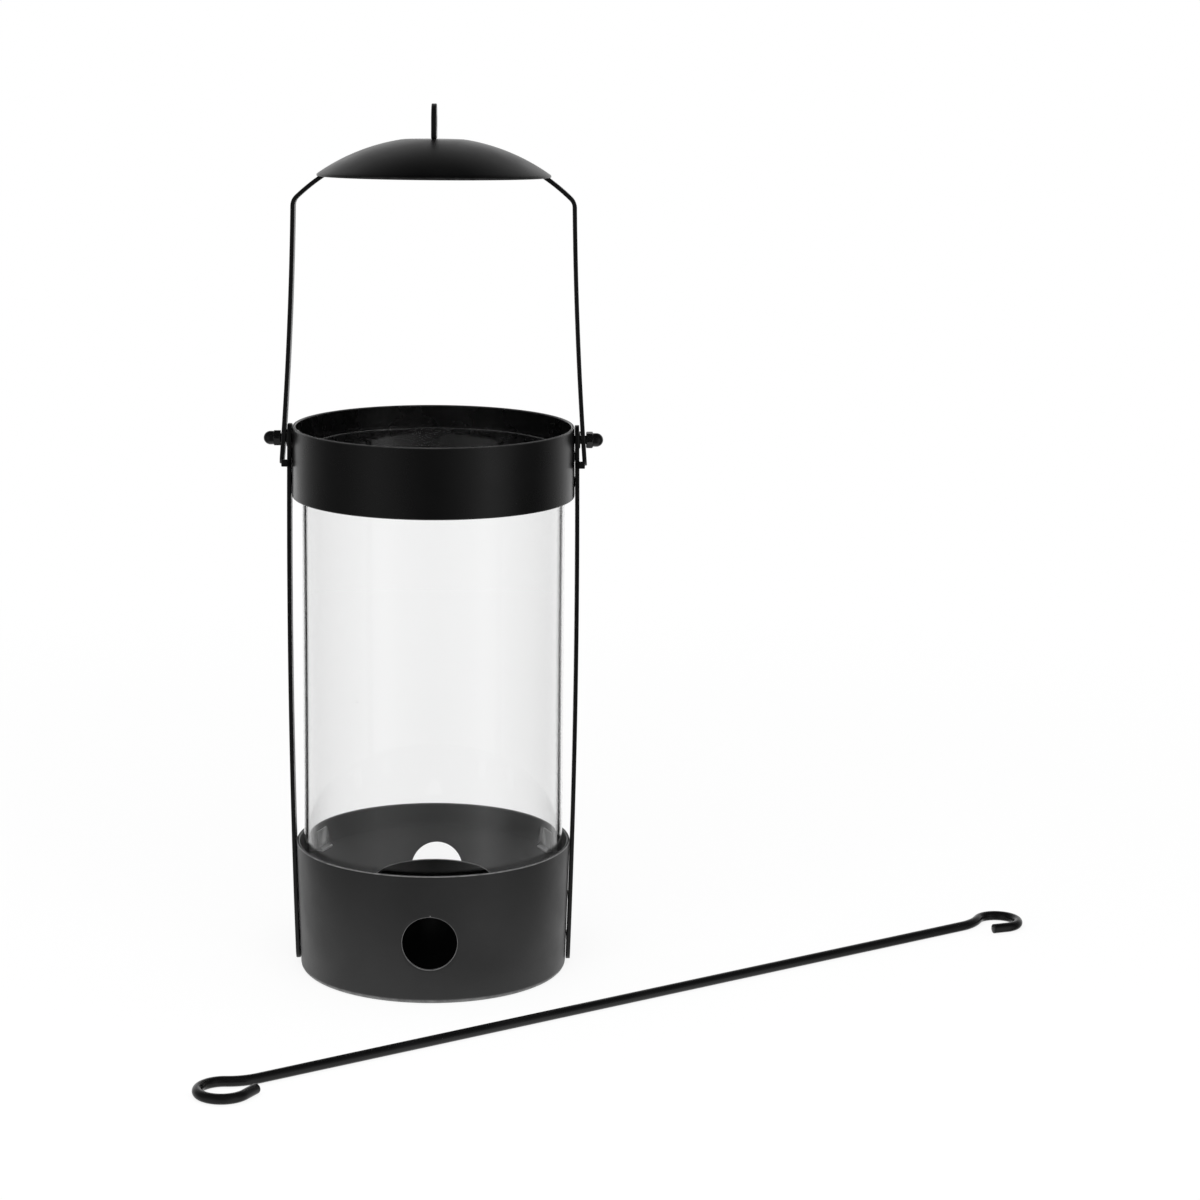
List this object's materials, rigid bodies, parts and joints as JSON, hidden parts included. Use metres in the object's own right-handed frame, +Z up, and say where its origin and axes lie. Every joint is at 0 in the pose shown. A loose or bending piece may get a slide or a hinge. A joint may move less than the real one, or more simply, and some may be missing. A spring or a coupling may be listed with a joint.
{
  "type": "hanging bird feeder",
  "caption": "Hanging bird feeder: black steel cup with feeding holes, clear glass tube under a collar, swinging bail with a shallow roof and eye, and a loose hooked hanging rod.",
  "frame": {"origin": "middle of the base cup's underside, on the ground", "axes": "+Z up, +X to the right through both pivots, -Y the front with a feeding hole"},
  "size_m": [0.3927, 0.2724, 0.4109],
  "materials": {
    "powder_coat": "fine satin black powder coat on mild steel sheet and flat bar",
    "black_hardware": "glossier black plated M4 screws, washers and domed nuts",
    "coated_wire": "satin black coated round steel rod",
    "seat_steel": "bare zinc-plated sheet, folded",
    "clear_glass": "clear borosilicate glass tube with melted rims"
  },
  "bodies": {
    "frame": {"base_cup": "powder_coat", "centre_pot": "powder_coat", "glass_seat_front_right": "seat_steel", "glass_seat_back_right": "seat_steel", "glass_seat_back_left": "seat_steel", "glass_seat_front_left": "seat_steel", "top_collar": "powder_coat", "side_strap_left": "powder_coat", "side_strap_right": "powder_coat", "strap_welds": "powder_coat", "pivot_screw_left": "black_hardware", "pivot_screw_right": "black_hardware", "pivot_washer_left": "black_hardware", "pivot_washer_right": "black_hardware", "domed_nut_left": "black_hardware", "domed_nut_right": "black_hardware"},
    "bail_assembly": {"bail": "powder_coat", "roof": "powder_coat", "hanging_eye": "powder_coat"},
    "tube": {"glass_tube": "clear_glass"},
    "rod": {"hanging_rod": "coated_wire"}
  },
  "joints": [
    {"name": "bail_swing", "type": "hinge", "parent": "frame", "child": "bail_assembly", "pos_m": [0, 0, 0.2559], "axis": [1, 0, 0], "range_deg": [0, 110]},
    {"name": "tube_lift", "type": "slide", "parent": "frame", "child": "tube", "axis": [0, 0, 1], "range_m": [0, 0.1]},
    {"name": "rod_lift", "type": "slide", "parent": "frame", "child": "rod", "axis": [0, 0, 1], "range_m": [0, 0.15]}
  ]
}
